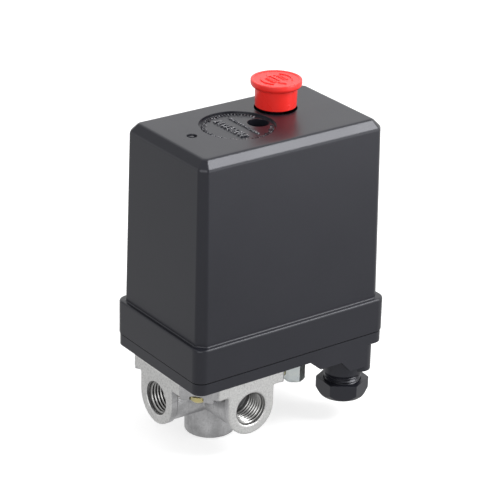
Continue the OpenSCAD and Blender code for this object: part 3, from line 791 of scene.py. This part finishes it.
def thread_ridge(bm, place, r, depth, pitch, z0, z1, steps=56):
    """An internal thread: a ridge wound inside a bore that opens towards local +Z."""
    section = [(0.12, -0.47), (-0.2 * depth, -0.35), (-0.95 * depth, -0.06), (-depth, 0.0),
               (-0.95 * depth, 0.06), (-0.2 * depth, 0.35), (0.12, 0.47)]
    turns = (z1 - z0) / pitch
    count = int(turns * steps)
    rings = []
    for i in range(count + 1):
        t = i / steps
        fade = min(1, 1.6 * t, 1.6 * (turns - t) + 0.02)
        angle = 2 * math.pi * t
        ring = []
        for out, along in section:
            radius = r + (out if out > 0 else out * fade)
            ring.append(place @ Vector((radius * math.cos(angle), radius * math.sin(angle),
                                        z0 + pitch * (t + along * max(fade, 0.05)))))
        rings.append(ring)
    # The crest value, 0 in the root and 1 on the crest, sets the painted shade in the roots.
    crest = bm.verts.layers.float.get("crest") or bm.verts.layers.float.new("crest")
    for loop in ring_chain(bm, rings):
        for vert, (out, _) in zip(loop, section):
            vert[crest] = min(1, max(0, -out / depth))


def build_port_threads():
    """One ridge in each of the four ports; each turn points local +Z out of its port."""
    quarter = math.pi / 2
    radius = PORT_R + 0.03
    ports = [
        (Matrix.Rotation(-quarter, 4, "Y"), LEFT_REACH, PORT_Z),
        (Matrix.Rotation(quarter, 4, "X"), SIDE_REACH, PORT_Z),
        (Matrix.Rotation(-quarter, 4, "X"), SIDE_REACH, PORT_Z),
        (Matrix.Rotation(math.pi, 4, "X"), 0, 0),
    ]
    bm = bmesh.new()
    for turn, reach, height in ports:
        place = Matrix.Translation((0, 0, height)) @ turn
        ends = (reach - THREAD_END, reach - THREAD_START)
        thread_ridge(bm, place, radius, THREAD_DEPTH, PORT_PITCH, *ends)
    ridges = mesh_object("port_threads", bm)
    smooth(ridges, 50)
    finish_with(ridges, "machined_aluminium", "housing")


# ---- screws ----

def cut_thread(node, centre, r, pitch, heights, steps=28):
    """A copy of a CAD screw with the thread really cut into its shank."""
    x, y = centre
    z0, z1 = heights
    depth = 0.54 * pitch
    turns = (z1 - z0) / pitch
    count = int(turns * steps)
    rings = []
    for i in range(count + 1):
        t = i / steps
        fade = max(0.05, min(1, 1.5 * t, 1.5 * (turns - t)))
        angle = 2 * math.pi * t
        ring = []
        for out, along in ((0.06, -0.43), (-depth * fade, -0.07), (-depth * fade, 0.07), (0.06, 0.43)):
            across, deep = (r + out) * math.cos(angle), (r + out) * math.sin(angle)
            ring.append((x + across, y + deep, z0 + pitch * (t + along)))
        rings.append(ring)
    bm = bmesh.new()
    ring_chain(bm, rings)
    screw = copy_of_node(node, node + "_threaded")
    combine(screw, mesh_object("cutter", bm), "DIFFERENCE")
    smooth(screw, 35)
    finish_with(screw, "white_zinc", node)
    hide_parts(node)


# ---- carried-over CAD nodes ----

def dress_cad_nodes():
    """Rounds the edges of each carried-over solid and gives it its finish."""
    for part in RECORD["subparts"]:
        node, slot = part["node"], part["material_slot"]
        obj = NODES[node]
        obj.data.materials.clear()
        obj.data.materials.append(FINISHES[slot].material)
        if node in REPLACED:
            continue
        weld_seams(obj)
        bevel = obj.modifiers.new("edges", "BEVEL")
        bevel.limit_method = "ANGLE"
        bevel.angle_limit = math.radians(35)
        bevel.width = EDGE_ROUND * MM
        bevel.segments = 2
        bevel.use_clamp_overlap = True
        weight_normals(obj)


# ---- stage ----

def build_stage():
    """A sheet of pale paper just under the tank port; reflections and bounced light ignore it."""
    bm = bmesh.new()
    size = 3000
    level = -0.3
    corners = [(-size, -size), (size, -size), (size, size), (-size, size)]
    bm.faces.new([bm.verts.new((x, y, level)) for x, y in corners])
    floor = mesh_object("floor", bm)
    floor.visible_glossy = False
    floor.visible_diffuse = False
    paint = Finish("floor_paper", (0.6, 0.6, 0.6), 0.9)
    paint.set("Emission Color", (1, 1, 1, 1))
    paint.set("Emission Strength", PAPER_GLOW)
    paint.relief(paint.noise(0.4, 2), 0.02)
    floor.data.materials.append(paint.material)


def softbox(name, place, target, size, power):
    data = bpy.data.lights.new(name, "AREA")
    data.shape = "RECTANGLE"
    data.size, data.size_y = size
    data.energy = power
    lamp = bpy.data.objects.new(name, data)
    lamp.location = place
    lamp.rotation_euler = (Vector(target) - Vector(place)).to_track_quat("-Z", "Y").to_euler()
    bpy.context.scene.collection.objects.link(lamp)


def world_node(tree, kind, *sources, **settings):
    """A node of the studio's light, with its first inputs fed from other nodes or set."""
    made = tree.nodes.new(kind)
    for key, value in settings.items():
        setattr(made, key, value)
    for socket, source in zip(made.inputs, sources):
        if isinstance(source, bpy.types.NodeSocket):
            tree.links.new(source, socket)
        else:
            socket.default_value = source
    return made


def light_level(tree, direction):
    """Brightness by direction: sweep behind, dim room in front, grey floor, black card behind left."""
    facing = world_node(tree, "ShaderNodeVectorMath", direction, TOWARDS_CAMERA, operation="DOT_PRODUCT")
    walls = world_node(tree, "ShaderNodeMapRange", facing.outputs["Value"], -0.6, 0.9,
                       SWEEP_LEVEL, ROOM_LEVEL)
    apart = world_node(tree, "ShaderNodeSeparateXYZ", direction)
    below = world_node(tree, "ShaderNodeMapRange", apart.outputs["Z"], 0.05, -0.25, 0.0, 1.0)
    floor = tree.nodes.new("ShaderNodeMix")
    tree.links.new(below.outputs[0], floor.inputs["Factor"])
    tree.links.new(walls.outputs[0], floor.inputs["A"])
    floor.inputs["B"].default_value = FLOOR_LEVEL
    toward_card = world_node(tree, "ShaderNodeVectorMath", direction, FLAG_DIRECTION, operation="DOT_PRODUCT")
    card = world_node(tree, "ShaderNodeMapRange", toward_card.outputs["Value"], 0.9, 0.98, 1.0, FLAG_LEVEL)
    level = world_node(tree, "ShaderNodeMath", floor.outputs["Result"], card.outputs[0], operation="MULTIPLY")
    return level.outputs[0]


def build_lights():
    """A white studio that the camera sees as plain white, and three softboxes."""
    world = bpy.data.worlds.new("studio")
    world.use_nodes = True
    tree = world.node_tree
    link = tree.links.new
    white = (1, 1, 1, 1)
    direction = tree.nodes.new("ShaderNodeTexCoord").outputs["Generated"]
    lit = tree.nodes["Background"]
    lit.inputs["Color"].default_value = white
    link(light_level(tree, direction), lit.inputs["Strength"])
    seen = world_node(tree, "ShaderNodeBackground", white)
    rays = tree.nodes.new("ShaderNodeLightPath")
    camera_ray = rays.outputs["Is Camera Ray"]
    mix = world_node(tree, "ShaderNodeMixShader", camera_ray, lit.outputs[0], seen.outputs[0])
    link(mix.outputs[0], tree.nodes["World Output"].inputs["Surface"])
    bpy.context.scene.world = world
    centre = Vector((BOX_X, 0, BOX_MIDDLE_Z)) * MM
    for name, (offset, size, power) in SOFTBOXES.items():
        softbox(name, centre + Vector(offset), centre, size, power)


def build_camera():
    """The viewpoint solved from the box's straight edges, in metres."""
    data = bpy.data.cameras.new("camera")
    data.lens = 162.36
    data.sensor_width = 36
    data.shift_x = -0.00566
    data.shift_y = -0.00228
    data.clip_end = 20
    camera = bpy.data.objects.new("camera", data)
    right = Vector((0.810927, -0.584651, 0.024098))
    up = Vector((0.221914, 0.345384, 0.911847))
    back = Vector((-0.541435, -0.734094, 0.409823))
    place = Vector((-0.444, -0.62721, 0.42077))
    turn = Matrix((right, up, back)).transposed().to_4x4()
    camera.matrix_world = Matrix.Translation(place) @ turn
    bpy.context.scene.collection.objects.link(camera)
    bpy.context.scene.camera = camera
    bpy.context.scene.view_settings.view_transform = "Standard"


# ---- build ----

dress_cad_nodes()
build_cover()
build_recess_marks()
build_gate_mark()
build_knob()
build_manifold()
build_port_threads()
for row in SCREWS:
    cut_thread(*row)
for row in SPRINGS:
    build_spring(*row)
build_stage()
build_lights()
build_camera()
